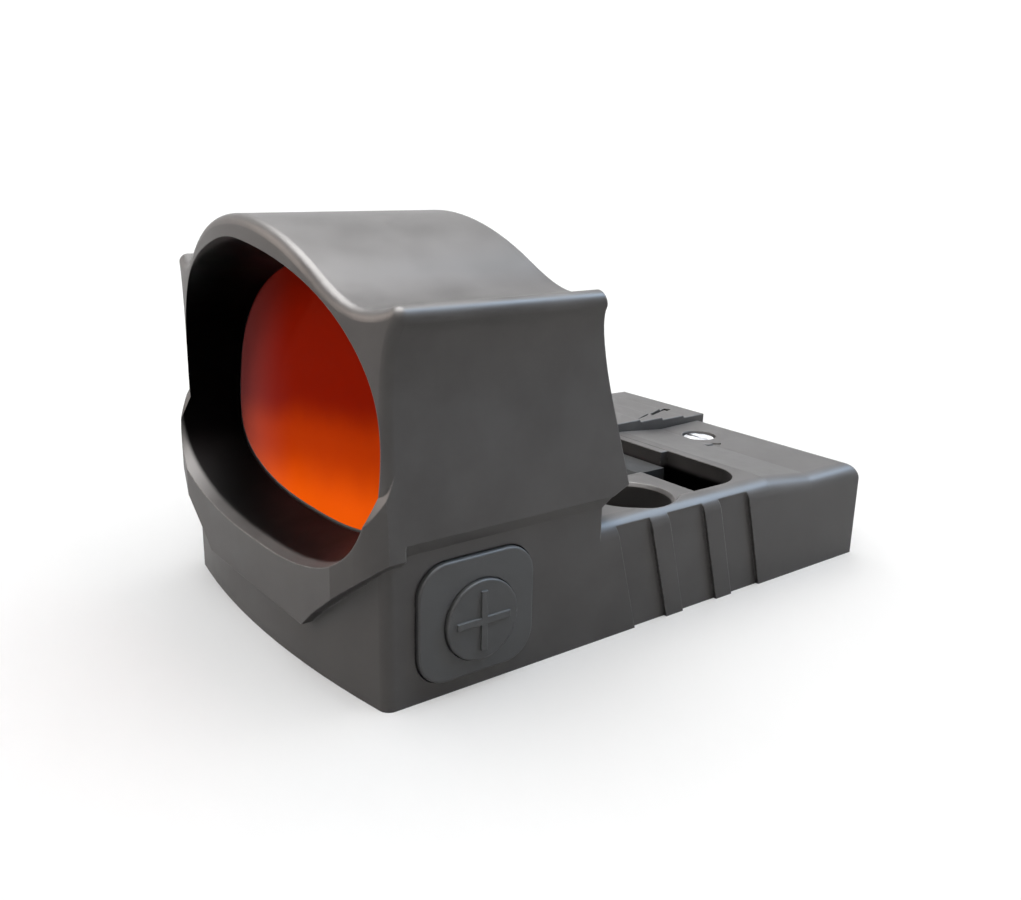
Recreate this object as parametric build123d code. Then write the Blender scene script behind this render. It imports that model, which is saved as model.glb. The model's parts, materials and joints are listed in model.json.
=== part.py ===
"""Miniature open reflex sight, in millimetres.

Modelled from a front datum: Y = 0 at the front corners of the base, +Y towards the user, +X to the
left-hand side of the sight as its user holds it, +Z up from the mounting underside. Every piece is
moved back by MID_Y when it is written, so the part's origin is the middle of its footprint.
"""
from build123d import *
import math
import os

# ---- driving dimensions -------------------------------------------------------------------------
BASE_W = 28.0            # width over the flat sides
BASE_L = 43.0            # front corners to the rear face
PROW = 1.3               # how far the front wall bows forward
RAIL_Z = 8.0             # top of the side rails beside the tray
DECK_Z = 7.4             # top of the rear deck
BAND_Z = (9.15, 9.9)     # chamfer band under the hood's side
HOOD_HALF = 14.4         # half width of the hood's side
EAR_HALF = 15.1          # half width over the ears
EAR_Z = 22.15            # centre height of the ear bead
EAR_R = 0.62             # radius of the ear bead
EAR_ARC = (-40, 112)     # where the bead leaves the side and the top, degrees
CROWN_Z = 26.4           # top of the hood
CROWN_R = 15.5           # radius of its arch
FRONT_ROLL = 0.6         # rounding of the hood's front edge
HOOD_BOW = 1.6           # how far the hood's front bows forward
HOOD_SIDE_Y = 0.55       # where that bow meets the side
NOTCH_X = 11.2           # inner side and front end of the notch over each rail
NOTCH_Y = 15.5
HOOD_REAR = (10.56, 17.3)   # a point (z, y) on the slanted rear face of the hood
SLANT = math.radians(15.5)   # lean of the hood's rear face and of the side grooves
LIP_Y = -1.65            # flat front of the lower lip
CHIN_Z = 3.15            # lower edge of the chin
LENS_TILT = 7.0          # lean of the lens, degrees
LENS_Y = 3.7             # lens front at mid height
LENS_MID_Z = 15.8
FIT = 0.03               # radial running clearance
PAD_Y = 6.15             # centre of the + and - buttons along the side
PAD_Z = 4.3
MOUNT_X = 10.0           # half spacing of the mounting screws
MOUNT_Y = 21.6
MOUNT_R = 1.65
MOUNT_HEAD_R = 3.0       # counterbore for its head
MOUNT_SEAT_Z = 3.4
TRAY_Y = (18.4, 31.1)    # tray behind the hood, front to rear
TRAY_HALF = 12.6
TRAY_CORNER = 2.8
TRAY_Z = 2.6             # tray floor
BOSS_R = 3.6             # boss round each mounting screw
BOSS_Z = 7.6
BOSS_REAR_Y = 26.3       # rear of the left-hand boss, which is a block
SCREW_E = (1.2, 38.3)    # elevation screw axis (x, y)
SCREW_W = (34.6, 3.4)    # windage screw axis (y, z)
HEAD_R = 1.4
SHANK_R = 0.9
EMITTER_AIM = 24.0       # upward aim of the emitter, degrees
BATTERY = (8.0, 3.2)     # coin cell radius and thickness
BATTERY_Y = 9.9
COVER_T = 1.0            # depth of the recess for each cover
CARRIAGE_FRONT = 27.15   # front edge of the emitter carriage
FAR_CORNER_R = 1.8       # relief of the right-hand front corner below the lip
MID_Y = 20.675           # middle of the overall length
parts = {}


def box(x, y, z):
    """A block between two corners, given as (low, high) pairs."""
    size = (x[1] - x[0], y[1] - y[0], z[1] - z[0])
    centre = ((x[0] + x[1]) / 2, (y[0] + y[1]) / 2, (z[0] + z[1]) / 2)
    return Pos(*centre) * Box(*size)


def rod_z(x, y, z, r):
    return Pos(x, y, (z[0] + z[1]) / 2) * Cylinder(r, z[1] - z[0])


def rod_x(x, y, z, r):
    return Pos((x[0] + x[1]) / 2, y, z) * Rot(0, 90, 0) * Cylinder(r, x[1] - x[0])


def slab_z(x, y, z, corner):
    """A rounded plate lying flat."""
    outline = RectangleRounded(x[1] - x[0], y[1] - y[0], corner)
    at = Pos((x[0] + x[1]) / 2, (y[0] + y[1]) / 2, z[0])
    return extrude(at * outline, z[1] - z[0], dir=(0, 0, 1))


def slab_x(x, y, z, corner):
    """A rounded plate standing in the YZ plane."""
    outline = RectangleRounded(y[1] - y[0], z[1] - z[0], corner)
    plane = Plane((x[0], (y[0] + y[1]) / 2, (z[0] + z[1]) / 2), x_dir=(0, 1, 0), z_dir=(1, 0, 0))
    return extrude(plane * outline, x[1] - x[0])


def mirror_x(shape):
    return mirror(shape, about=Plane.YZ)


def side_profile(points, half=40.0):
    """A prism across the whole width from (y, z) points."""
    plane = Plane((-half, 0, 0), x_dir=(0, 1, 0), z_dir=(1, 0, 0))
    return extrude(plane * make_face(Polyline(*points, close=True)), 2 * half)


def plan_prism(edges, z):
    return extrude(Pos(0, 0, z[0]) * make_face(edges), z[1] - z[0], dir=(0, 0, 1))


def rear_y(z):
    """The hood's slanted rear face: y at a height z."""
    return HOOD_REAR[1] + (HOOD_REAR[0] - z) * math.tan(SLANT)


# ---- housing ------------------------------------------------------------------------------------
def base_block():
    half = BASE_W / 2
    edges = Curve() + [
        ThreePointArc((-half, 0), (0, -PROW), (half, 0)),
        Polyline((half, 0), (half, BASE_L), (-half, BASE_L), (-half, 0)),
    ]
    plan = plan_prism(edges, (0, BAND_Z[0]))
    corners = plan.edges().filter_by(Axis.Z)
    plan = fillet(corners.group_by(Axis.Y)[0], 0.7)
    plan = fillet(plan.edges().filter_by(Axis.Z).group_by(Axis.Y)[-1], 0.25)
    profile = side_profile([(-5, 0), (BASE_L, 0), (BASE_L, DECK_Z), (37.0, DECK_Z), (32.0, RAIL_Z),
                            (NOTCH_Y, RAIL_Z), (NOTCH_Y, BAND_Z[0]), (-5, BAND_Z[0])])
    body = plan & profile
    top_edges = [e for e in body.edges()
                 if abs(abs(e.center().X) - half) < 0.01 and e.center().Y > rear_y(RAIL_Z)
                 and e.center().Z > 7.0]
    body = fillet(top_edges, 1.2)
    # the hood's foot between the two rail notches
    foot = box((-NOTCH_X, NOTCH_X), (NOTCH_Y - 0.5, 19.5), (RAIL_Z - 0.5, BAND_Z[0]))
    return body + (foot & side_profile([(0, 0), (rear_y(0), 0), (rear_y(12), 12), (0, 12)]))


def hood_right_edges():
    """The right half of the hood's outer outline, from the band up to the crown, as (x, z) edges."""
    ear_x = EAR_HALF - EAR_R
    low, high = math.radians(EAR_ARC[0]), math.radians(EAR_ARC[1])
    under = (ear_x + EAR_R * math.cos(low), EAR_Z + EAR_R * math.sin(low))
    over = (ear_x + EAR_R * math.cos(high), EAR_Z + EAR_R * math.sin(high))
    shoulder_x = 8.5
    drop = CROWN_R - math.sqrt(CROWN_R ** 2 - shoulder_x ** 2)
    shoulder = (shoulder_x, CROWN_Z - drop)
    slope = shoulder_x / (CROWN_R - drop)
    side = Spline((HOOD_HALF, BAND_Z[1]), (HOOD_HALF - 0.2, 14.8), (HOOD_HALF - 0.2, 19.0), under,
                  tangents=[(0, 1), (-math.sin(low), math.cos(low))])
    ear = ThreePointArc(under, (EAR_HALF, EAR_Z), over)
    valley = Spline(over, (12.1, 22.35), shoulder, tangents=[(-math.sin(high), math.cos(high)), (-1, slope)])
    return [side, ear, valley], shoulder


def hood_section(low_half, low_z):
    """The hood's outer outline, closed by a floor at low_z."""
    right, shoulder = hood_right_edges()
    left = [mirror(e, about=Plane.YZ) for e in right]
    crown = ThreePointArc((-shoulder[0], shoulder[1]), (0, CROWN_Z), shoulder)
    floor = Polyline((-HOOD_HALF, BAND_Z[1]), (-low_half, low_z), (low_half, low_z), (HOOD_HALF, BAND_Z[1]))
    face = make_face(Curve() + right + left + [crown, floor])
    return Plane((0, 0, 0), x_dir=(1, 0, 0), z_dir=(0, -1, 0)) * face


def hood_block():
    """Outer hood: one section trimmed by the bowed front and the slanted rear face."""
    blank = extrude(hood_section(BASE_W / 2, BAND_Z[0]), 24, both=True)
    bow = Curve() + [
        ThreePointArc((-16, HOOD_SIDE_Y), (0, -HOOD_BOW), (16, HOOD_SIDE_Y)),
        Polyline((16, HOOD_SIDE_Y), (16, 30), (-16, 30), (-16, HOOD_SIDE_Y)),
    ]
    keep = plan_prism(bow, (0, 30))
    lean = side_profile([(-6, 0), (rear_y(0), 0), (rear_y(30), 30), (-6, 30)])
    block = blank & keep & lean
    # the rail's rounded top runs on under the rear corner of each side
    notch = side_profile([(NOTCH_Y - 0.05, 9.0), (15.9, 9.8), (17.55, 10.55), (19.5, 10.6), (19.5, 9.0)])
    notch = notch - box((-NOTCH_X, NOTCH_X), (10, 25), (5, 15))
    block = block - notch
    front = [e for e in block.edges() if e.center().Y < 0.9 and e.center().Z > 12]
    return fillet(front, FRONT_ROLL)


def lip_block():
    """The lower lip: stands forward of the hood's front and ends in the chin's straight edge."""
    rear = 1.1
    edges = Curve() + Line((-10.8, LIP_Y), (10.8, LIP_Y)) + Line((15.2, rear), (-15.2, rear))
    for side in (1, -1):
        edges += Line((side * 10.8, LIP_Y), (side * 12.7, -1.2))
        edges += ThreePointArc((side * 12.7, -1.2), (side * 14.0, -0.45), (side * 14.75, 0.9))
        edges += Line((side * 14.75, 0.9), (side * 15.2, rear))
    plan = plan_prism(edges, (CHIN_Z, 14.2))
    half = [(7.0, CHIN_Z), (8.4, 4.4), (13.4, 8.1), (15.2, 9.73), (15.2, 14.2)]
    outline = half + [(-x, z) for x, z in reversed(half)]
    plane = Plane((0, 3, 0), x_dir=(1, 0, 0), z_dir=(0, -1, 0))
    contour = extrude(plane * make_face(Polyline(*outline, close=True)), 8)
    ramp = side_profile([(3, 3), (LIP_Y - 1, 3), (LIP_Y - 1, 9.6), (LIP_Y, 10.0), (-0.75, 11.4),
                         (0.15, 13.0), (0.55, 14.0), (3, 14.0)])
    return plan & contour & ramp & extrude(hood_section(BASE_W / 2 + 0.4, CHIN_Z - 1), 24, both=True)


def opening_face(inset, y):
    """The window's outline at depth y, pulled in by inset all round."""
    mid_z, half_h, half_w = 15.75, 9.15, 13.85
    kx = 1 - inset / half_w
    kz = 1 - inset / half_h
    right = [(5.4, 24.05), (11.1, 21.25), (13.5, 17.9), (13.85, 13.6), (12.75, 9.9), (8.3, 7.4)]
    top = [(0, mid_z + half_h)]
    bottom = [(0, mid_z - half_h)]
    left = [(-x, z) for x, z in reversed(right)]
    ring = [(x * kx, mid_z + (z - mid_z) * kz) for x, z in top + right + bottom + left]
    plane = Plane((0, y, 0), x_dir=(1, 0, 0), z_dir=(0, -1, 0))
    return plane * make_face(Spline(*ring, periodic=True))


def lens_plane_block(offset, depth):
    """A thick slab parallel to the tilted lens, from its front plane + offset."""
    slab = Box(60, depth, 60)
    return Pos(0, LENS_Y, LENS_MID_Z) * Rot(-LENS_TILT, 0, 0) * Pos(0, offset + depth / 2, 0) * slab


def lens_slice(inset, offset, depth):
    """A window-shaped disc parallel to the tilted lens."""
    prism = extrude(opening_face(inset, -10), -40)
    return prism & lens_plane_block(offset, depth)


POCKET_INSET = 0.55


def tunnel():
    funnel = loft([opening_face(-1.05, -6.0), opening_face(2.1, 9.0)], ruled=True)
    funnel = funnel & lens_plane_block(-30, 30)
    pocket = extrude(opening_face(POCKET_INSET, -10), -45) & lens_plane_block(0, 40)
    return funnel, pocket


def side_grooves(side):
    """Three shallow slanted recesses across the base's flank."""
    cuts = []
    half = BASE_W / 2
    for start, stop in ((19.0, 22.0), (23.6, 27.0), (28.6, 31.6)):
        lean = math.tan(SLANT) * 8.0
        shape = side_profile([(start, 0), (stop, 0), (stop - lean * 1.02, 8.2), (start - lean, 8.2)])
        depth = 0.24
        x = (half - depth, half + 1) if side > 0 else (-half - 1, -half + depth)
        cuts.append(shape & box(x, (10, 40), (-0.01, 7.7)))
    return cuts


def housing():
    body = base_block() + hood_block() + lip_block()
    funnel, pocket = tunnel()
    body = body - funnel - (pocket & box((-20, 20), (0, 30), (RAIL_Z - 0.9, 40)))
    # tray behind the hood, with a boss for each mounting screw
    tray = slab_z((-TRAY_HALF, TRAY_HALF), TRAY_Y, (TRAY_Z, 12), TRAY_CORNER)
    tongue = box((-4.5, 4.5), (TRAY_Y[1] - 0.75, TRAY_Y[1] + 1), (TRAY_Z + 2.6, RAIL_Z - 0.02))
    boss_z = (TRAY_Z - 1, BOSS_Z)
    boss_x = (MOUNT_X - BOSS_R, 13.6)
    left_boss = box(boss_x, (TRAY_Y[0] - 1, BOSS_REAR_Y), boss_z)
    right_boss = rod_z(MOUNT_X, MOUNT_Y, boss_z, BOSS_R) + box(boss_x, (TRAY_Y[0] - 1, MOUNT_Y), boss_z)
    tray = tray - tongue - left_boss - mirror_x(right_boss)
    body = body - tray
    for side in (1, -1):
        x = side * MOUNT_X
        body = body - rod_z(x, MOUNT_Y, (MOUNT_SEAT_Z, 9.5), MOUNT_HEAD_R)
        body = body - Pos(x, MOUNT_Y, BOSS_Z) * Cone(MOUNT_HEAD_R - 0.1, MOUNT_HEAD_R + 0.5, 0.8)
        body = body - rod_z(x, MOUNT_Y, (-1, 12), MOUNT_R)
        # recoil recess in the underside
        body = body - rod_z(side * 9.5, 28.6, (-1, 1.6), 1.9)
        # pad pocket, switch pocket and the passage between them
        pocket_x = (13.2, 15) if side > 0 else (-15, -13.2)
        body = body - slab_x(pocket_x, (1.85, 10.05), (0.85, 8.35), 2.0)
        stem_x = (9, 14) if side > 0 else (-14, -9)
        body = body - rod_x(stem_x, PAD_Y, PAD_Z, 1.35)
        switch_x = (9.0, 12.1) if side > 0 else (-12.1, -9.0)
        body = body - box(switch_x, (PAD_Y - 2.1, PAD_Y + 2.1), (COVER_T, 6.0))
        for cut in side_grooves(side):
            body = body - cut
    # battery and board cavity, open below
    body = body - slab_z((-12.6, 12.6), (0.9, 19.1), (-1, COVER_T), 1.5)
    body = body - slab_z((-9.8, 9.8), (1.8, 17.0), (-1, 6.1), 1.5)
    body = body - rod_z(0, BATTERY_Y, (-1, 6.1), BATTERY[0] + 0.2)
    body = body - gasket_ring(0.02)
    # relief of the right-hand front corner
    r = FAR_CORNER_R
    half = BASE_W / 2
    relief = box((-half - 1, r - half), (-1, r), (-1, 5.0)) - rod_z(r - half, r, (-2, 6), r)
    body = body - relief
    # flex strip's way down from the board and along the tray floor
    body = body - box((2.0, 5.2), (16.5, TRAY_Y[0]), (1.7, 5.2)) - box((2.0, 5.2), (16.5, 27), (1.7, 3.0))
    # adjuster bay, open below, and its way through to the tray
    body = body - slab_z((-11.6, 11.6), (31.6, 42.0), (-1, COVER_T), 1.5)
    body = body - slab_z((-9.4, 9.4), (32.4, 41.2), (-1, 5.4), 1.0)
    body = body - box((-8.2, 5.5), (29, 33), (TRAY_Z - 0.6, 5.2))
    body = body - box((-8.2, 5.5), (24.2, 31.2), (1.8, 3.0))
    # adjusting screw seats
    ex, ey = SCREW_E
    body = body - rod_z(ex, ey, (6.2, 9), HEAD_R + FIT) - rod_z(ex, ey, (5, 7), SHANK_R + FIT)
    wy, wz = SCREW_W
    body = body - rod_x((-15, -12.8), wy, wz, HEAD_R + FIT) - rod_x((-13, -9), wy, wz, SHANK_R + FIT)
    # cover screws
    for x, y in COVER_SCREWS:
        body = body - rod_z(x, y, (-1, 3.6), 0.62)
    # seat for the raised plate on the far half of the deck
    body = body - deck_plate_seat()
    # engraved arrow beside the elevation screw
    body = body - arrow_mark()
    return body


COVER_SCREWS = [(11.2, 2.7), (-11.2, 2.7), (11.2, 14.6), (-11.2, 14.6), (10.2, 40.6), (-10.2, 40.6)]


def gasket_ring(grow):
    """Flat gasket round the battery bay, under the bottom cover, grown by grow."""
    inner_x, outer_x = 9.9 - grow, 10.42 + grow
    outer = slab_z((-outer_x, outer_x), (1.14 - grow, 18.7 + grow), (COVER_T - 0.01, 1.27 + grow), 1.6)
    inner = slab_z((-inner_x, inner_x), (1.62 + grow, 18.2 - grow), (0, 3), 1.2)
    return outer - inner


def deck_plate_plan(edge):
    """Outline of the raised plate on the deck, grown by edge."""
    rear = BASE_L + max(edge, 0.0) * 20
    front = 31.4 - edge
    return [(-13.0 - edge, front), (-1.7 + edge, front), (-2.6 + edge, rear), (-13.0 - edge, rear)]


def deck_plate_seat():
    return plan_prism(Polyline(*deck_plate_plan(0.04), close=True), (6.6, 10))


def arrow_mark():
    points = [(-0.2, 0.0), (0.2, 0.0), (0.2, 1.1), (0.55, 1.1), (0, 1.9), (-0.55, 1.1), (-0.2, 1.1)]
    face = make_face(Polyline(*points, close=True))
    return extrude(Pos(3.9, 36.2, DECK_Z - 0.12) * face, 0.6, dir=(0, 0, 1))


# ---- optics -------------------------------------------------------------------------------------
def lens_elements():
    gap = POCKET_INSET + 0.35
    front = lens_slice(gap, 0.15, 1.3)
    rear = lens_slice(gap, 1.45, 1.1)
    rear_ball = Pos(0, LENS_Y + 1.55 + 64.0, LENS_MID_Z + 5) * Sphere(62.0)
    rear = rear - rear_ball
    parts["lens_front_element"] = front
    parts["lens_rear_element"] = rear
    seal_outer = lens_slice(POCKET_INSET + 0.02, 0.15, 2.4)
    seal_inner = lens_slice(gap - 0.02, -1, 6)
    parts["lens_seal"] = seal_outer - seal_inner
    ring_outer = lens_slice(POCKET_INSET + 0.05, 2.6, 0.9)
    ring_inner = lens_slice(POCKET_INSET + 1.15, 0, 8)
    parts["lens_retainer"] = ring_outer - ring_inner


# ---- buttons ------------------------------------------------------------------------------------
def button_set(side, name):
    disc_r = 2.5
    pad = slab_x((13.22, 14.3), (1.92, 9.98), (0.92, 8.28), 1.95)
    pad = fillet(pad.faces().sort_by(Axis.X)[-1].edges(), 0.15)
    pad = pad - rod_x((13, 15), PAD_Y, PAD_Z, disc_r + 0.05)
    disc = rod_x((13.75, 14.55), PAD_Y, PAD_Z, disc_r)
    disc = fillet(disc.edges().group_by(Axis.X)[-1], 0.12)
    stem = rod_x((12.32, 13.76), PAD_Y, PAD_Z, 1.0)
    bar = box((14.5, 14.68), (PAD_Y - 1.85, PAD_Y + 1.85), (PAD_Z - 0.21, PAD_Z + 0.21))
    upright = box((14.5, 14.68), (PAD_Y - 0.21, PAD_Y + 0.21), (PAD_Z - 1.85, PAD_Z + 1.85))
    button = disc + stem + bar
    if name == "plus":
        button = button + upright
    switch = box((9.9, 11.5), (PAD_Y - 1.9, PAD_Y + 1.9), (2.3, 5.6)) - rod_x((10.6, 12), PAD_Y, PAD_Z, 0.85)
    plunger = rod_x((11.2, 12.3), PAD_Y, PAD_Z, 0.8)
    for key, shape in (("pad", pad), ("button", button), ("switch", switch), ("plunger", plunger)):
        parts[f"{name}_{key}"] = shape if side > 0 else mirror_x(shape)


# ---- emitter and adjusters ----------------------------------------------------------------------
def slotted_head(radius, height):
    """A knurled screw head with a cross slot, standing on the origin."""
    head = Pos(0, 0, height / 2) * Cylinder(radius, height)
    head = chamfer(head.edges().group_by(Axis.Z)[-1], 0.15)
    slot = Pos(0, 0, height) * Box(2 * radius + 1, 0.42, 1.0)
    notch = Pos(radius + 0.06, 0, height) * Cylinder(0.12, 0.5)
    for i in range(12):
        head = head - Rot(0, 0, 15 + 30 * i) * notch
    return head - slot


def adjusters():
    ex, ey = SCREW_E
    wy, wz = SCREW_W
    places = {
        "elevation": (Pos(ex, ey, 6.22), 4.8, -1.1, -0.42),
        "windage": (Pos(-12.82, wy, wz) * Rot(0, -90, 0), 9.2, -3.72, -1.6),
    }
    for name, (place, length, clip_z, ring_z) in places.items():
        screw = slotted_head(HEAD_R, 1.0) + Pos(0, 0, -length / 2) * Cylinder(SHANK_R, length)
        screw = screw - Pos(0, 0, clip_z) * (Cylinder(2, 0.3) - Cylinder(0.62, 0.3))
        screw = screw - Pos(0, 0, ring_z) * (Cylinder(2, 0.34) - Cylinder(0.6, 0.34))
        clip = Cylinder(1.45, 0.26) - Cylinder(0.66, 1) - Pos(0.9, 0, 0) * Box(1.4, 0.9, 1)
        parts[f"{name}_screw"] = place * screw
        parts[f"{name}_clip"] = place * Pos(0, 0, clip_z) * clip
        parts[f"{name}_o_ring"] = place * Pos(0, 0, ring_z) * Torus(0.76, 0.15)
    # elevation slide: nut block, arm and the cross platform under the emitter
    block = box((ex - 2.2, ex + 2.2), (ey - 1.9, ey + 1.9), (2.2, 4.2))
    arm = box((ex - 1.3, ex + 1.3), (30.0, ey), (2.5, 3.7))
    platform = box((-5.0, 4.2), (26.9, 30.3), (2.5, 3.4))
    slide = block + arm + platform - rod_z(ex, ey, (0, 8), SHANK_R + FIT)
    parts["elevation_slide"] = slide
    # windage nut, and the carriage whose fork it drives
    nut_x = (-7.6, -5.0)
    nut = box(nut_x, (wy - 1.4, wy + 1.4), (1.9, 5.0)) - rod_x((-20, 0), wy, wz, SHANK_R + FIT)
    nut = nut + box((-6.7, -5.9), (wy - 2.3, wy - 1.4), (2.2, 4.7))
    parts["windage_nut"] = nut
    seat_z = 3.45
    carriage = box((-3.6, 3.2), (CARRIAGE_FRONT, 29.4), (seat_z, 5.4))
    tail = box((-7.6, -3.6), (28.2, 29.4), (seat_z, 4.6)) + box((-7.6, -5.0), (29.4, 31.2), (seat_z, 4.6))
    for tine_x in ((-7.6, -6.75), (-5.85, -5.0)):
        tail = tail + box(tine_x, (31.2, 33.1), (seat_z, 4.6))
    carriage = carriage + tail
    aim = Pos(0, CARRIAGE_FRONT, 5.4) * Rot(90 - EMITTER_AIM, 0, 0)
    carriage = carriage - aim * Pos(0, 0, 1.0) * Box(8, 8, 2.0 + 1.2)
    parts["emitter_carriage"] = carriage - aim * Pos(0, 0, -1.0) * Cylinder(0.55, 1.4)
    parts["emitter_led"] = aim * (Pos(0, 0, -1.05) * Cylinder(0.52, 1.1) + Pos(0, 0, -0.5) * Sphere(0.45))


def shroud():
    """Thin cover over the emitter in the tray, with a sloping window frame."""
    wall = 0.4
    foot, low, high, back = (25.1, TRAY_Z), (25.1, 4.3), (27.5, 6.9), 30.2
    outer = side_profile([foot, (back, foot[1]), (back, high[1]), high, low])
    inner = side_profile([(foot[0] + wall, 1), (31, 1), (31, high[1] - wall), (high[0] + 0.2, high[1] - wall),
                          (low[0] + wall, low[1] - 0.2)])
    body = outer & box((-8.7, 5.1), (20, 31), (TRAY_Z + 0.01, 10))
    body = body - (inner & box((-8.3, 4.7), (20, 32), (0, 10)))
    slope = math.degrees(math.atan2(high[1] - low[1], high[0] - low[0]))
    face = Pos(0, (low[0] + high[0]) / 2, (low[1] + high[1]) / 2) * Rot(slope, 0, 0)
    parts["emitter_shroud"] = body - face * Box(5.2, 1.9, 3)
    parts["emitter_window"] = face * Pos(0, 0, -0.2) * Box(5.14, 1.84, 0.3)


# ---- power and electronics ----------------------------------------------------------------------
def electronics():
    r, t = BATTERY
    cell = rod_z(0, BATTERY_Y, (1.35, 1.35 + t), r)
    cell = fillet(cell.edges().group_by(Axis.Z)[0], 0.4)
    parts["battery"] = cell
    leaf = slab_z((-2.0, 2.0), (5.0, 15.8), (1.02, 1.22), 0.6)
    parts["battery_contact"] = leaf + slab_z((-0.9, 0.9), (8.8, 12.0), (1.22, 1.33), 0.4)
    board = slab_z((-9.6, 9.6), (2.0, 16.8), (4.75, 5.3), 1.2)
    for side in (1, -1):
        board = board - box(sorted((side * 9.0, side * 10)), (PAD_Y - 2.0, PAD_Y + 2.0), (4, 6))
    parts["circuit_board"] = board
    chips = box((2.0, 4.8), (8.0, 10.8), (5.31, 6.0)) + box((-5.0, -3.2), (6.5, 8.1), (5.31, 5.9))
    parts["controller_chips"] = chips
    # ribbon from the board, down behind the cell and along the tray floor to the emitter
    width = (2.2, 5.0)
    strip = box(width, (16.81, 18.2), (4.95, 5.05)) + box(width, (18.1, 18.2), (1.72, 5.05))
    parts["emitter_flex"] = strip + box(width, (18.1, 26.4), (1.72, 1.82))


def covers():
    plate = slab_z((-12.5, 12.5), (1.0, 19.0), (0, COVER_T - 0.02), 1.4)
    rear = slab_z((-11.5, 11.5), (31.7, 41.9), (0, COVER_T - 0.02), 1.4)
    screws = []
    for x, y in COVER_SCREWS:
        cut = rod_z(x, y, (-1, 0.5), 1.15) + rod_z(x, y, (-1, 2), 0.7)
        plate = plate - cut
        rear = rear - cut
        screw = rod_z(x, y, (0.05, 0.48), 1.1) + rod_z(x, y, (0.3, 3.2), 0.6)
        screw = screw - Pos(x, y, 0.05) * Box(1.5, 0.3, 0.5) - Pos(x, y, 0.05) * Box(0.3, 1.5, 0.5)
        screws.append(screw)
    parts["bottom_cover"] = plate
    parts["bottom_gasket"] = gasket_ring(0.0)
    parts["adjuster_cover"] = rear
    parts["cover_screws"] = Part() + screws


def deck_plate():
    low = 6.62
    front = 31.4
    steps = [(front, low), (BASE_L, low)]
    count = 4
    run = (BASE_L - front) / count
    for i in range(count):
        top = 7.85 + 0.26 * i
        steps += [(BASE_L - run * i, top), (BASE_L - run * (i + 1) + 0.12, top + 0.06)]
    plate = side_profile(steps) & plan_prism(Polyline(*deck_plate_plan(0.0), close=True), (6, 10))
    groove = [(-2.5, 34.2), (-5.3, 41.6), (-5.9, 41.3)]
    plate = plate - plan_prism(Polyline(*groove, close=True), (7.6, 10))
    parts["deck_plate"] = plate


parts["housing"] = housing()
lens_elements()
button_set(1, "plus")
button_set(-1, "minus")
adjusters()
shroud()
electronics()
covers()
deck_plate()

os.makedirs("parts", exist_ok=True)
for name, shape in parts.items():
    export_step(Pos(0, -MID_Y, 0) * shape, f"parts/{name}.step")
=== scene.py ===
"""Looks for the miniature reflex sight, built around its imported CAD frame. Metres throughout."""

import json
import math

import bpy
from mathutils import Matrix, Vector


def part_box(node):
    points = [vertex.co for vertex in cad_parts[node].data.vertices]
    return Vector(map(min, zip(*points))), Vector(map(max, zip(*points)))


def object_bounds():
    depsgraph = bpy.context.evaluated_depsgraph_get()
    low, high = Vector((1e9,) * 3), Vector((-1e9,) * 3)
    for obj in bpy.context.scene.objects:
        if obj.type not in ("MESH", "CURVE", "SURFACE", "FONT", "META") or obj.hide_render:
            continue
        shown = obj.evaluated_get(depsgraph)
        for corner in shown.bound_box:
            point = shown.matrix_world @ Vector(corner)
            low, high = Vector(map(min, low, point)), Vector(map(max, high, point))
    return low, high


MM = 0.001
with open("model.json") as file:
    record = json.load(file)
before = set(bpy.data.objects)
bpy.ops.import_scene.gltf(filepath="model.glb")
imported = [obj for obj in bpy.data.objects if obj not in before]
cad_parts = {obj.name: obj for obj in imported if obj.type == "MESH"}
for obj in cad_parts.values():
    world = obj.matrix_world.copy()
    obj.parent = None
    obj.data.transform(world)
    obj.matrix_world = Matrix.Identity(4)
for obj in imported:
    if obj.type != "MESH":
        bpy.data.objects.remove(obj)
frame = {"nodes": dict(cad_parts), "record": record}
cad_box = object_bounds()
nodes = frame["nodes"]


# ---- node helpers -------------------------------------------------------------------------------
def new_material(name):
    material = bpy.data.materials.new(name)
    material.use_nodes = True
    tree = material.node_tree
    shader = tree.nodes["Principled BSDF"]
    return material, tree, shader


def add(tree, kind, **values):
    """A node with attributes and unlinked inputs set by name."""
    node = tree.nodes.new(kind)
    for key, value in values.items():
        if hasattr(node, key):
            setattr(node, key, value)
        else:
            node.inputs[key.replace("_", " ")].default_value = value
    return node


def noise(tree, scale, detail=3.0, roughness=0.55, stretch=None):
    """Object-space noise; stretch scales its axes one by one."""
    coords = tree.nodes.new("ShaderNodeTexCoord")
    texture = add(tree, "ShaderNodeTexNoise", Scale=scale, Detail=detail, Roughness=roughness)
    source = coords.outputs["Object"]
    if stretch:
        mapping = tree.nodes.new("ShaderNodeMapping")
        mapping.inputs["Scale"].default_value = stretch
        tree.links.new(source, mapping.inputs["Vector"])
        source = mapping.outputs["Vector"]
    tree.links.new(source, texture.inputs["Vector"])
    return texture.outputs["Fac"]


def ramp(tree, factor, stops):
    """A colour ramp from (position, colour) stops; a plain number is a grey."""
    node = tree.nodes.new("ShaderNodeValToRGB")
    elements = node.color_ramp.elements
    while len(elements) < len(stops):
        elements.new(0.5)
    for element, (position, colour) in zip(elements, stops):
        element.position = position
        element.color = (*colour, 1) if isinstance(colour, tuple) else (colour, colour, colour, 1)
    tree.links.new(factor, node.inputs["Fac"])
    return node.outputs["Color"]


def bump(tree, shader, height, strength, distance, before=None):
    node = add(tree, "ShaderNodeBump", Strength=strength, Distance=distance)
    tree.links.new(height, node.inputs["Height"])
    if before:
        tree.links.new(before, node.inputs["Normal"])
    tree.links.new(node.outputs["Normal"], shader.inputs["Normal"])
    return node.outputs["Normal"]


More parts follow.
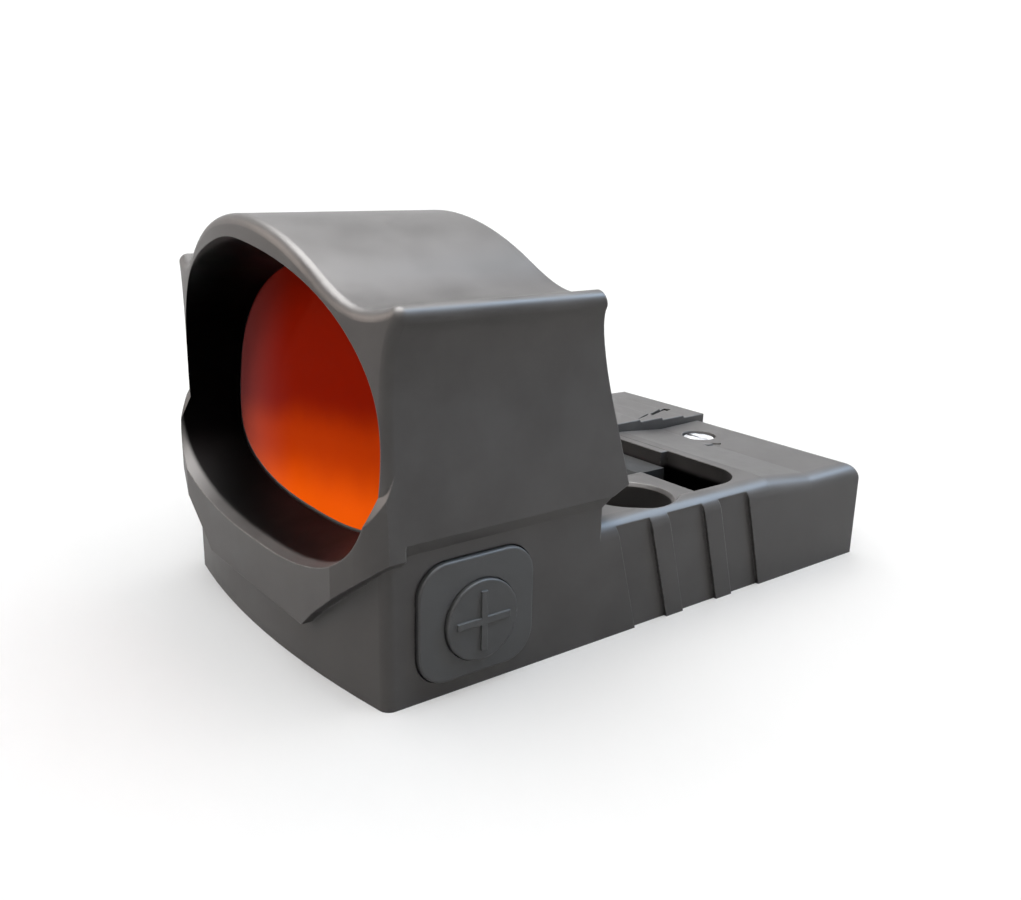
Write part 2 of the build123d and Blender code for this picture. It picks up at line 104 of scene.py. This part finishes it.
def mix(tree, factor, low, high):
    """Mixes two colours (sockets or tuples) by a factor socket."""
    node = tree.nodes.new("ShaderNodeMix")
    node.data_type = "RGBA"
    tree.links.new(factor, node.inputs["Factor"])
    for name, value in (("A", low), ("B", high)):
        socket = [s for s in node.inputs if s.name == name and s.type == "RGBA"][0]
        if isinstance(value, tuple):
            socket.default_value = (*value, 1)
        else:
            tree.links.new(value, socket)
    return [s for s in node.outputs if s.type == "RGBA"][0]


def position(tree):
    """Object-space x, y and z sockets, in metres."""
    coords = tree.nodes.new("ShaderNodeTexCoord")
    split = tree.nodes.new("ShaderNodeSeparateXYZ")
    tree.links.new(coords.outputs["Object"], split.inputs["Vector"])
    return split.outputs


def math_node(tree, operation, first, second=None, third=None):
    """One arithmetic step; each term is a socket or a number."""
    node = tree.nodes.new("ShaderNodeMath")
    node.operation = operation
    for socket, value in zip(node.inputs, (first, second, third)):
        if value is None:
            continue
        if isinstance(value, (int, float)):
            socket.default_value = value
        else:
            tree.links.new(value, socket)
    return node.outputs["Value"]


def band(tree, value, low, high):
    """0 below low, 1 above high, smooth between; low may be the larger."""
    node = tree.nodes.new("ShaderNodeMapRange")
    node.interpolation_type = "SMOOTHSTEP"
    tree.links.new(value, node.inputs["Value"])
    for name, number in (("From Min", low), ("From Max", high), ("To Min", 0.0), ("To Max", 1.0)):
        node.inputs[name].default_value = number
    return node.outputs["Result"]


def edge_mask(tree, radius):
    """Bright on convex edges: how far a rounded normal leans away from the true one."""
    rounded = add(tree, "ShaderNodeBevel", samples=6, Radius=radius)
    geometry = tree.nodes.new("ShaderNodeNewGeometry")
    dot = tree.nodes.new("ShaderNodeVectorMath")
    dot.operation = "DOT_PRODUCT"
    tree.links.new(rounded.outputs["Normal"], dot.inputs[0])
    tree.links.new(geometry.outputs["Normal"], dot.inputs[1])
    return band(tree, dot.outputs["Value"], 0.995, 0.86), rounded.outputs["Normal"]


def crevices(tree, reach):
    """Bright in corners and narrow gaps, where shade falls; it masks painted shade."""
    occlusion = add(tree, "ShaderNodeAmbientOcclusion", samples=8, Distance=reach)
    return band(tree, occlusion.outputs["AO"], 0.62, 0.12)


# ---- materials ----------------------------------------------------------------------------------
def anodised(name, dark, light, roughness=(0.40, 0.52), wear=0.5, tunnel=False, metallic=0.55):
    """Bead-blasted, hard-anodised alloy: fine grain, soft mottling and paler rubbed edges, with painted
    shade in corners and gaps, and in the bore and the tray when tunnel is set.
    """
    material, tree, shader = new_material(name)
    mottling = noise(tree, 260, 4.0)
    grain = noise(tree, 16000, 2.0)
    scuffs = noise(tree, 2600, 5.0, 0.7, stretch=(1.0, 0.35, 1.6))
    colour = ramp(tree, mottling, [(0.3, dark), (0.7, light)])
    edges, normal = edge_mask(tree, 0.00012)
    rubbed = math_node(tree, "MULTIPLY", edges, band(tree, scuffs, 0.38, 0.62))
    worn = tuple(min(1.0, c * 2.6 + 0.02) for c in light)
    colour = mix(tree, math_node(tree, "MULTIPLY", rubbed, wear), colour, worn)
    # painted shade: corners and narrow gaps darkened towards black
    crevice_shade = math_node(tree, "MULTIPLY", crevices(tree, 0.0009), 0.8)
    colour = mix(tree, crevice_shade, colour, (0.004, 0.004, 0.004))
    rough = ramp(tree, mottling, [(0.25, roughness[0]), (0.75, roughness[1])])
    shader.inputs["Metallic"].default_value = metallic
    if tunnel:
        colour, black = paint_bore_and_tray_shade(tree, colour)
        # painted shade in the bore and the tray: made fully metallic there, as a black metal reflects next
        # to nothing, where a black plastic would still shine
        metal_share = math_node(tree, "MULTIPLY_ADD", black, 1 - metallic, metallic)
        tree.links.new(metal_share, shader.inputs["Metallic"])
    tree.links.new(colour, shader.inputs["Base Color"])
    tree.links.new(rough, shader.inputs["Roughness"])
    bump(tree, shader, grain, 0.10, 0.00002, before=normal)
    return material


def paint_bore_and_tray_shade(tree, colour):
    """Painted shade, near black, in the bore and the tray; in the bore it deepens a black finish. Also
    returns where it is.
    """
    x, y, z = (position(tree)[axis] for axis in "XYZ")
    # the bore: a black finish deepened into painted shade, on surfaces that face its axis, between the front
    # opening and just behind the glass
    coords = tree.nodes.new("ShaderNodeTexCoord")
    facing = tree.nodes.new("ShaderNodeSeparateXYZ")
    tree.links.new(coords.outputs["Normal"], facing.inputs["Vector"])
    sideways = math_node(tree, "MULTIPLY", x, facing.outputs["X"])
    above = math_node(tree, "SUBTRACT", z, BORE_AXIS_Z)
    outward = math_node(tree, "MULTIPLY_ADD", above, facing.outputs["Z"], sideways)
    inward = band(tree, outward, -0.0015, -0.0030)
    depth = math_node(tree, "MULTIPLY", band(tree, y, BORE_FRONT, BORE_FRONT + 0.0004),
                      band(tree, y, GLASS_Y + 0.0062, GLASS_Y + 0.0054))
    above_lip = band(tree, z, 0.0062, 0.0066)
    bore = math_node(tree, "MULTIPLY", math_node(tree, "MULTIPLY", inward, depth), above_lip)
    colour = mix(tree, bore, colour, (0.0012, 0.0010, 0.0010))
    # the tray's floor and walls, painted near black as shade, but not the two screw bosses
    beside = band(tree, math_node(tree, "ABSOLUTE", x), TRAY_HALF + 0.0002, TRAY_HALF + 0.00005)
    along = math_node(tree, "MULTIPLY", band(tree, y, TRAY_Y[0] - 0.0003, TRAY_Y[0]),
                      band(tree, y, TRAY_Y[1] + 0.0002, TRAY_Y[1] + 0.00005))
    below_rim = band(tree, z, 0.0071, 0.0066)
    deep = math_node(tree, "MULTIPLY", math_node(tree, "MULTIPLY", beside, along), below_rim)
    from_boss = math_node(tree, "SUBTRACT", math_node(tree, "ABSOLUTE", x), BOSS_X)
    boss_side = band(tree, from_boss, -BOSS_R + 0.0001, -BOSS_R + 0.0003)
    boss_front = band(tree, y, BOSS_REAR_Y + 0.0002, BOSS_REAR_Y)
    on_boss = math_node(tree, "MULTIPLY", boss_side, boss_front)
    deep = math_node(tree, "MULTIPLY", deep, math_node(tree, "SUBTRACT", 1.0, on_boss))
    colour = mix(tree, deep, colour, (0.0015, 0.0015, 0.0015))
    return colour, math_node(tree, "MAXIMUM", bore, deep)


def rubber(name, dark, light):
    """Fine matt rubber, mottled, with paler rubbed edges."""
    material, tree, shader = new_material(name)
    mottling = noise(tree, 700, 3.0)
    grain = noise(tree, 14000, 2.0)
    edges, normal = edge_mask(tree, 0.00008)
    colour = ramp(tree, mottling, [(0.3, dark), (0.7, light)])
    worn = tuple(c * 1.7 for c in light)
    colour = mix(tree, math_node(tree, "MULTIPLY", edges, 0.5), colour, worn)
    tree.links.new(colour, shader.inputs["Base Color"])
    tree.links.new(ramp(tree, mottling, [(0.3, 0.48), (0.7, 0.6)]), shader.inputs["Roughness"])
    bump(tree, shader, grain, 0.15, 0.00002, before=normal)
    return material


def plastic(name, dark, light, roughness=(0.5, 0.62)):
    """Moulded plastic or film: faint mottling and a fine grain."""
    material, tree, shader = new_material(name)
    mottling = noise(tree, 900, 3.0)
    tree.links.new(ramp(tree, mottling, [(0.3, dark), (0.7, light)]), shader.inputs["Base Color"])
    rough = ramp(tree, mottling, [(0.3, roughness[0]), (0.7, roughness[1])])
    tree.links.new(rough, shader.inputs["Roughness"])
    bump(tree, shader, noise(tree, 12000, 2.0), 0.1, 0.00002)
    shader.inputs["Specular IOR Level"].default_value = 0.3
    return material


def metal(name, dark, light, roughness=(0.22, 0.38), streak=None):
    """Bare metal with a machined unevenness; streak stretches it along an axis."""
    material, tree, shader = new_material(name)
    brushed = noise(tree, 1500, 4.0, stretch=streak)
    tree.links.new(ramp(tree, brushed, [(0.3, dark), (0.7, light)]), shader.inputs["Base Color"])
    rough = ramp(tree, brushed, [(0.3, roughness[0]), (0.7, roughness[1])])
    tree.links.new(rough, shader.inputs["Roughness"])
    bump(tree, shader, brushed, 0.08, 0.00002)
    shader.inputs["Metallic"].default_value = 1.0
    return material


def coated_glass(name):
    """Dichroic lens: deep red, with a painted reflection that turns it orange low down and a painted pale
    sheen where it is seen at a slant.
    """
    material, tree, shader = new_material(name)
    place = position(tree)
    haze = noise(tree, 160, 2.0)
    wander = math_node(tree, "MULTIPLY_ADD", haze, 0.0016, -0.0008)
    # painted reflection: orange low down, deep red above, with a wandering edge
    height = math_node(tree, "ADD", math_node(tree, "MULTIPLY_ADD", place["X"], -0.15, place["Z"]), wander)
    low = band(tree, height, 0.0148, 0.0118)
    lowest = band(tree, height, 0.0118, 0.0070)
    orange = mix(tree, lowest, (0.38, 0.030, 0.001), (0.78, 0.095, 0.002))
    colour = mix(tree, low, (0.20, 0.007, 0.001), orange)
    # painted sheen: pale pink mixed into the colour where the lens is seen at a slant
    slant = tree.nodes.new("ShaderNodeLayerWeight").outputs["Facing"]
    sheen = math_node(tree, "MULTIPLY", band(tree, slant, 0.56, 0.66), 0.7)
    colour = mix(tree, sheen, colour, (0.26, 0.13, 0.135))
    tree.links.new(colour, shader.inputs["Base Color"])
    tree.links.new(ramp(tree, haze, [(0.3, 0.02), (0.7, 0.05)]), shader.inputs["Roughness"])
    shader.inputs["Transmission Weight"].default_value = 0.22
    shader.inputs["IOR"].default_value = 1.02
    return material


def clear_glass(name):
    """Clear window glass with a slight haze."""
    material, tree, shader = new_material(name)
    haze = noise(tree, 400, 2.0)
    colour = ramp(tree, haze, [(0.3, (0.75, 0.77, 0.8)), (0.7, (0.86, 0.87, 0.9))])
    tree.links.new(colour, shader.inputs["Base Color"])
    tree.links.new(ramp(tree, haze, [(0.3, 0.01), (0.7, 0.04)]), shader.inputs["Roughness"])
    shader.inputs["Transmission Weight"].default_value = 0.9
    return material


# the bore, the tray and the screw bosses, where they are in the housing
BORE_FRONT = cad_box[0][1] + 0.0006
BORE_AXIS_Z = 0.01575
TRAY_Y = (-0.00228, 0.01043)
TRAY_HALF = 0.0126
BOSS_X, BOSS_R, BOSS_REAR_Y = 0.010, 0.0036, 0.00563
GLASS_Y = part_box("lens_front_element")[0][1]
GREY_DARK, GREY_LIGHT = (0.035, 0.0325, 0.0312), (0.048, 0.0450, 0.0432)
SLOT_MATERIALS = {
    "anodised": anodised("hard_anodised", GREY_DARK, GREY_LIGHT, tunnel=True),
    "deck_plate": anodised("deck_anodised", GREY_DARK, GREY_LIGHT),
    "cover_plate": anodised("cover_anodised", (0.02, 0.02, 0.02), (0.03, 0.03, 0.03)),
    "coated_glass": coated_glass("dichroic_glass"),
    "clear_glass": clear_glass("window_glass"),
    "sealant": rubber("black_sealant", (0.006, 0.006, 0.006), (0.012, 0.012, 0.012)),
    "black_plastic": plastic("black_nylon", (0.002, 0.002, 0.002), (0.004, 0.004, 0.004), (0.7, 0.8)),
    "led": plastic("red_led", (0.55, 0.02, 0.01), (0.8, 0.04, 0.02), (0.15, 0.25)),
    "bright_steel": metal("turned_steel", (0.62, 0.62, 0.63), (0.85, 0.85, 0.86), (0.3, 0.45)),
    "steel": metal("plain_steel", (0.3, 0.3, 0.31), (0.45, 0.45, 0.46)),
    "brass": metal("plain_brass", (0.6, 0.42, 0.17), (0.78, 0.58, 0.28)),
    "board": plastic("board_mask", (0.012, 0.10, 0.04), (0.02, 0.15, 0.06), (0.25, 0.35)),
    "chip": plastic("chip_resin", (0.015, 0.015, 0.016), (0.03, 0.03, 0.03)),
    "flex": plastic("polyimide", (0.07, 0.030, 0.008), (0.11, 0.048, 0.012), (0.3, 0.4)),
    "rubber": rubber("pad_rubber", (0.017, 0.0167, 0.0164), (0.024, 0.0236, 0.0232)),
    "rubber_button": rubber("button_rubber", (0.015, 0.0147, 0.0144), (0.022, 0.0216, 0.0212)),
    "cell": metal("nickel_plate", (0.5, 0.5, 0.48), (0.66, 0.66, 0.63)),
}


def dress_frame():
    """Gives every CAD node its procedural material, and the housing and deck plate even shading over their
    facets.
    """
    for part in frame["record"]["subparts"]:
        obj = nodes[part["node"]]
        obj.data.materials.clear()
        obj.data.materials.append(SLOT_MATERIALS[part["material_slot"]])
    for name in ("housing", "deck_plate"):
        shading = nodes[name].modifiers.new("even_shading", "WEIGHTED_NORMAL")
        shading.keep_sharp = True
        shading.weight = 100


# ---- camera, floor and light --------------------------------------------------------------------
def make_camera():
    """Stands near the front left corner, a hand's breadth away and looking slightly down."""
    azimuth, pitch, roll = math.radians(52.44), math.radians(16.28), math.radians(1.32)
    level = Vector((-math.sin(azimuth), math.cos(azimuth), 0))
    side = Vector((math.cos(azimuth), math.sin(azimuth), 0))
    up = Vector((0, 0, 1))
    forward = math.cos(pitch) * level - math.sin(pitch) * up
    above = math.sin(pitch) * level + math.cos(pitch) * up
    right = math.cos(roll) * side + math.sin(roll) * above
    above = -math.sin(roll) * side + math.cos(roll) * above
    data = bpy.data.cameras.new("camera")
    data.lens = 35.61
    data.clip_start, data.clip_end = 0.001, 10
    camera = bpy.data.objects.new("camera", data)
    camera.matrix_world = Matrix((
        (right.x, above.x, -forward.x, 57.35 * MM),
        (right.y, above.y, -forward.y, -45.78 * MM),
        (right.z, above.z, -forward.z, 30.0 * MM),
        (0, 0, 0, 1)))
    bpy.context.collection.objects.link(camera)
    bpy.context.scene.camera = camera


def area_light(name, place, aim, size, power, unlit_floor, colour=(1, 1, 1)):
    """A soft box that lights the sight but not the floor, whose bounce would flood the sight's sides."""
    data = bpy.data.lights.new(name, "AREA")
    data.shape = "RECTANGLE"
    data.size, data.size_y = size
    data.energy = power
    data.color = colour
    lamp = bpy.data.objects.new(name, data)
    lamp.location = place
    lamp.rotation_mode = "QUATERNION"
    lamp.rotation_quaternion = (Vector(aim) - Vector(place)).to_track_quat("-Z", "Y")
    lamp.light_linking.receiver_collection = unlit_floor
    bpy.context.collection.objects.link(lamp)


def sweep_mesh():
    """A floor that runs flat, then curves up into a wall on every side, as rings round the origin."""
    rings, around = [], 96
    for radius in (0.02, 0.1, 0.3, 0.7):
        rings.append((radius, 0.0))
    bend, wall = 0.5, 1.6
    for step in range(1, 13):
        turn = math.radians(90 * step / 12)
        rings.append((0.7 + bend * math.sin(turn), bend * (1 - math.cos(turn))))
    rings.append((0.7 + bend, wall))
    verts, faces = [(0.0, 0.0, 0.0)], []
    for radius, height in rings:
        for k in range(around):
            angle = 2 * math.pi * k / around
            verts.append((radius * math.cos(angle), radius * math.sin(angle), height))
    for k in range(around):
        faces.append((0, 1 + k, 1 + (k + 1) % around))
    for ring in range(len(rings) - 1):
        low, high = 1 + ring * around, 1 + (ring + 1) * around
        for k in range(around):
            after = (k + 1) % around
            faces.append((low + k, high + k, high + after, low + after))
    mesh = bpy.data.meshes.new("floor")
    mesh.from_pydata(verts, [], faces)
    mesh.shade_smooth()
    return mesh


def make_stage():
    floor = bpy.data.objects.new("floor", sweep_mesh())
    bpy.context.collection.objects.link(floor)
    material, tree, shader = new_material("pale_floor")
    shader.inputs["Base Color"].default_value = (0.985, 0.985, 0.985, 1)
    shader.inputs["Roughness"].default_value = 0.9
    shader.inputs["Specular IOR Level"].default_value = 0.1
    floor.data.materials.append(material)
    unlit_floor = bpy.data.collections.new("unlit_floor")
    unlit_floor.objects.link(floor)
    unlit_floor.collection_objects[0].light_linking.link_state = "EXCLUDE"
    world = bpy.data.worlds.new("studio")
    world.use_nodes = True
    background = world.node_tree.nodes["Background"]
    background.inputs["Color"].default_value = (1, 1, 1, 1)
    background.inputs["Strength"].default_value = 1.36
    bpy.context.scene.world = world
    view = bpy.context.scene.view_settings
    view.view_transform = "Standard"
    middle = (0, 0, 0.01)
    area_light("overhead", (-0.03, -0.02, 0.36), middle, (0.30, 0.30), 5.6, unlit_floor)
    area_light("rear_blue", (0.10, 0.22, 0.26), middle, (0.06, 0.20), 1.6, unlit_floor, (0.55, 0.75, 1.0))
    area_light("front_warm", (-0.24, -0.30, 0.16), middle, (0.20, 0.20), 1.0, unlit_floor, (1.0, 0.86, 0.78))


dress_frame()
make_camera()
make_stage()

bpy.context.view_layer.update()
